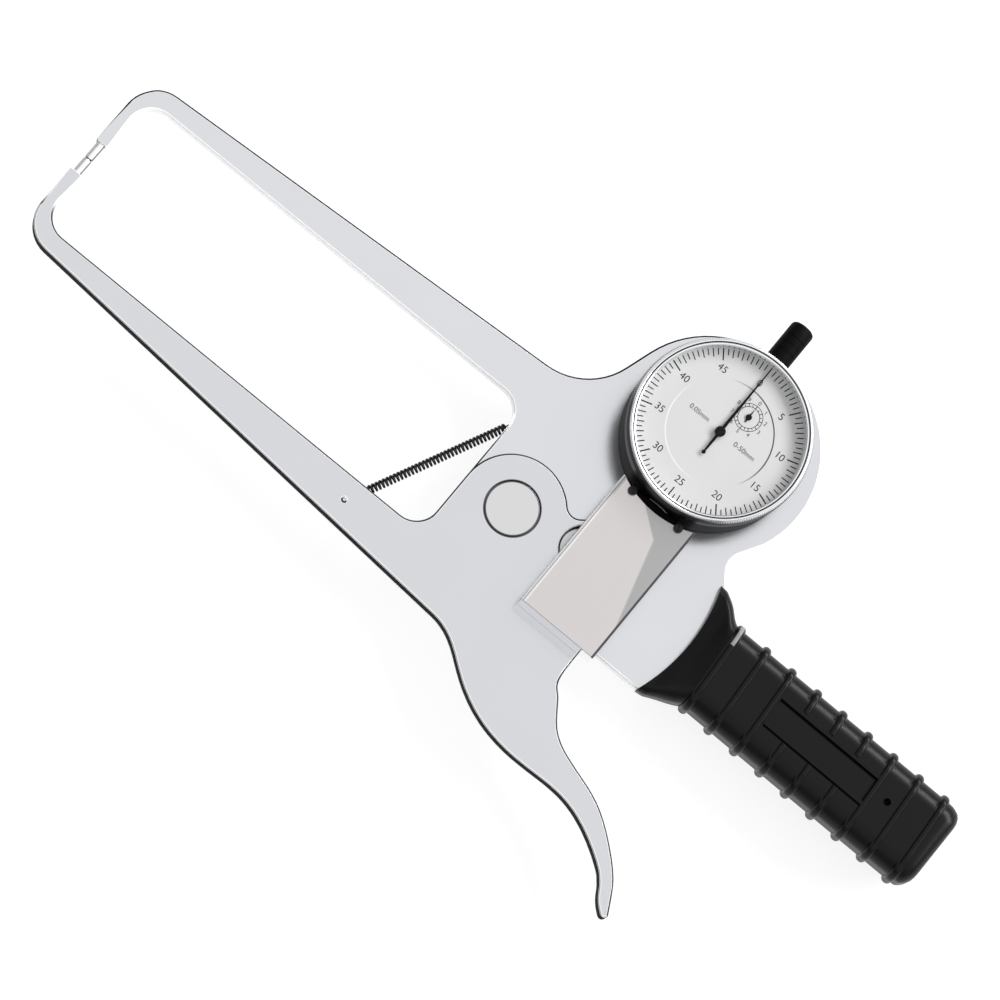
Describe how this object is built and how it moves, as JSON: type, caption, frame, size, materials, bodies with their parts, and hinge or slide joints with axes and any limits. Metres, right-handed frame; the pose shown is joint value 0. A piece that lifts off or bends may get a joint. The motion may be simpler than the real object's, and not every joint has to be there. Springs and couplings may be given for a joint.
{
  "type": "outside caliper gauge",
  "caption": "Lever-arm outside caliper gauge with a round dial indicator, a pivoting measuring arm with a finger trigger and tension spring, and a ribbed plastic grip.",
  "frame": {"origin": "on the arm pivot's axis, in the rear face of the pivot nut and body plate", "axes": "+X from the measuring tips toward the grip's end, +Y from the trigger toward the dial's dust cap, +Z out of the dial's face"},
  "size_m": [0.336, 0.1811, 0.0359],
  "materials": {
    "body_metal": "satin",
    "arm_metal": "satin",
    "steel": "satin",
    "contact_steel": "polished",
    "spring_black": "blackened",
    "block_black": "matte",
    "screw_black": "blackened",
    "cover_steel": "fine brushed",
    "grip_plastic": "semi-matte",
    "case_black": "satin",
    "cap_black": "gloss",
    "bezel_chrome": "bright",
    "crystal_clear": "clear",
    "dial_face": "matte",
    "hand_black": "matte",
    "brass": "satin"
  },
  "bodies": {
    "frame": {"body_plate": "body_metal", "fixed_contact": "contact_steel", "pivot_pin": "steel", "pivot_nut": "steel", "stop_post": "steel", "body_spring_pin": "steel", "tension_spring": "spring_black", "stem_block": "block_black", "block_screws": "screw_black", "spindle_cover": "cover_steel", "cover_screws": "screw_black", "grip_front": "grip_plastic", "grip_rear": "grip_plastic", "grip_screws": "screw_black", "dial_case": "case_black", "case_back": "case_black", "stem": "steel", "dust_cap": "cap_black", "inner_dial": "dial_face", "movement_plate": "brass", "movement_bridge": "brass", "movement_pillars": "brass"},
    "lever": {"moving_arm": "arm_metal", "moving_contact": "contact_steel", "pivot_bush": "brass", "lever_pin": "steel", "arm_spring_pin": "steel"},
    "rack_spindle": {"spindle": "steel", "contact_point": "contact_steel", "guide_pin": "steel"},
    "drive_train": {"rack_pinion": "steel", "drive_wheel": "brass"},
    "main_pointer": {"centre_pinion": "steel", "pointer": "hand_black"},
    "takeup_train": {"takeup_arbor": "steel", "takeup_wheel": "brass", "hairspring": "steel", "counter_pointer": "hand_black"},
    "bezel_unit": {"bezel": "bezel_chrome", "crystal": "crystal_clear", "scale_ring": "dial_face"}
  },
  "joints": [
    {"name": "arm_swing", "type": "hinge", "parent": "frame", "child": "lever", "pos_m": [0, 0, 0], "axis": [0, 0, 1], "range_deg": [0, 17.1], "stiffness_Nm_per_rad": 0.25, "springref_deg": -28.65, "deforming": ["tension_spring"]},
    {"name": "spindle_slide", "type": "slide", "parent": "frame", "child": "rack_spindle", "axis": [0, 1, 0], "range_m": [0, 0.0101]},
    {"name": "drive_spin", "type": "hinge", "parent": "frame", "child": "drive_train", "pos_m": [0.03019, 0.0469, 0], "axis": [0, 0, 1], "range_deg": [0, 361]},
    {"name": "pointer_spin", "type": "hinge", "parent": "frame", "child": "main_pointer", "pos_m": [0.0336, 0.0565, 0], "axis": [0, 0, 1], "range_deg": [-3610, 0]},
    {"name": "takeup_spin", "type": "hinge", "parent": "frame", "child": "takeup_train", "pos_m": [0.0376, 0.06587, 0], "axis": [0, 0, 1], "range_deg": [0, 361]},
    {"name": "bezel_turn", "type": "hinge", "parent": "frame", "child": "bezel_unit", "pos_m": [0.0336, 0.0565, 0], "axis": [0, 0, 1], "continuous": true}
  ],
  "couplings": [
    {"joint": "spindle_slide", "follows": "arm_swing", "m_per_rad": 0.033475},
    {"joint": "drive_spin", "follows": "arm_swing", "ratio": 21.033},
    {"joint": "pointer_spin", "follows": "arm_swing", "ratio": -210.33},
    {"joint": "takeup_spin", "follows": "arm_swing", "ratio": 21.033}
  ]
}
